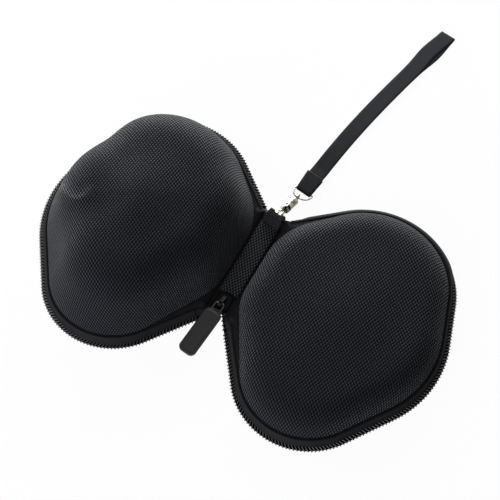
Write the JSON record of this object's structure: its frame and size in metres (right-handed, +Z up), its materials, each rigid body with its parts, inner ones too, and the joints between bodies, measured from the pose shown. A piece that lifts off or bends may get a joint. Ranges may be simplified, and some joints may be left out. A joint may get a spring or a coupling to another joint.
{
  "type": "headphone carrying case",
  "caption": "Clamshell case of two formed woven shells, lying open on its rims: cloth spine, zipper rows with slider and rubber pull, hang loop, swivel snap hook and wrist strap.",
  "frame": {"origin": "on the table, midway between the two halves and at the middle of the rims along the fold", "axes": "+X across the fold toward the shallow half, +Y along the fold toward the hang loop, +Z up"},
  "size_m": [0.29, 0.3364, 0.052],
  "materials": {
    "ballistic_cloth": "woven, matt with a faint sheen",
    "eva_foam": "matt, closed cell",
    "fleece": "napped",
    "binding_tape": "plain weave",
    "zip_tape": "smooth, water-repellent",
    "nylon_coil": "satin",
    "black_zinc": "gloss",
    "pull_rubber": "matt",
    "webbing": "ribbed",
    "nickel": "polished",
    "spring_steel": "bright"
  },
  "bodies": {
    "deep_half": {"deep_skin": "ballistic_cloth", "deep_foam": "eva_foam", "deep_lining": "fleece", "deep_binding": "binding_tape", "deep_tape": "zip_tape", "deep_teeth": "nylon_coil"},
    "spine": {"spine_strip": "ballistic_cloth", "spine_lining": "fleece", "chain_end": "zip_tape", "slider_body": "black_zinc", "slider_bail": "black_zinc", "hang_loop": "webbing", "loop_bar": "nickel"},
    "shallow_half": {"shallow_skin": "ballistic_cloth", "shallow_foam": "eva_foam", "shallow_lining": "fleece", "shallow_binding": "binding_tape", "shallow_tape": "zip_tape", "shallow_teeth": "nylon_coil"},
    "pull": {"pull_link": "black_zinc", "pull_tab": "pull_rubber"},
    "hook": {"hook_body": "nickel", "gate_pin": "nickel", "gate_spring": "spring_steel"},
    "gate": {"hook_gate": "nickel"},
    "swivel": {"swivel_eye": "nickel"},
    "ring": {"strap_ring": "nickel"},
    "strap": {"strap_end": "webbing", "wrist_strap": "webbing"}
  },
  "joints": [
    {"name": "deep_fold", "type": "hinge", "parent": "deep_half", "child": "spine", "pos_m": [-0.0075, 0, 0.0073], "axis": [0, 1, 0], "range_deg": [0, 90]},
    {"name": "shallow_fold", "type": "hinge", "parent": "spine", "child": "shallow_half", "pos_m": [0.0075, 0, 0.0073], "axis": [0, 1, 0], "range_deg": [0, 90]},
    {"name": "pull_swing", "type": "hinge", "parent": "spine", "child": "pull", "pos_m": [0, -0.0272, 0.011], "axis": [-0.9903, 0.1392, 0], "range_deg": [0, 140]},
    {"name": "hook_swing", "type": "hinge", "parent": "spine", "child": "hook", "pos_m": [0.00173, 0.04691, 0.0114], "axis": [0.9877, -0.1564, 0], "range_deg": [0, 30]},
    {"name": "gate_open", "type": "hinge", "parent": "hook", "child": "gate", "pos_m": [0.00278, 0.05702, 0.00967], "axis": [0.9146, -0.0258, 0.4036], "range_deg": [0, 18], "stiffness_Nm_per_rad": 0.004, "springref_deg": -20.05, "deforming": ["gate_spring"]},
    {"name": "swivel_spin", "type": "hinge", "parent": "hook", "child": "swivel", "pos_m": [0.00433, 0.06245, 0.0065], "axis": [0.1576, 0.9418, -0.2969], "continuous": true},
    {"name": "ring_swing", "type": "hinge", "parent": "swivel", "child": "ring", "pos_m": [0.00543, 0.06905, 0.00442], "axis": [0.9863, -0.165, 0], "range_deg": [-25, 25]},
    {"name": "strap_swing", "type": "hinge", "parent": "ring", "child": "strap", "pos_m": [0.00677, 0.07705, 0.0019], "axis": [0.9863, -0.165, 0], "range_deg": [-20, 20]}
  ],
  "couplings": [
    {"joint": "shallow_fold", "follows": "deep_fold", "ratio": 1}
  ]
}
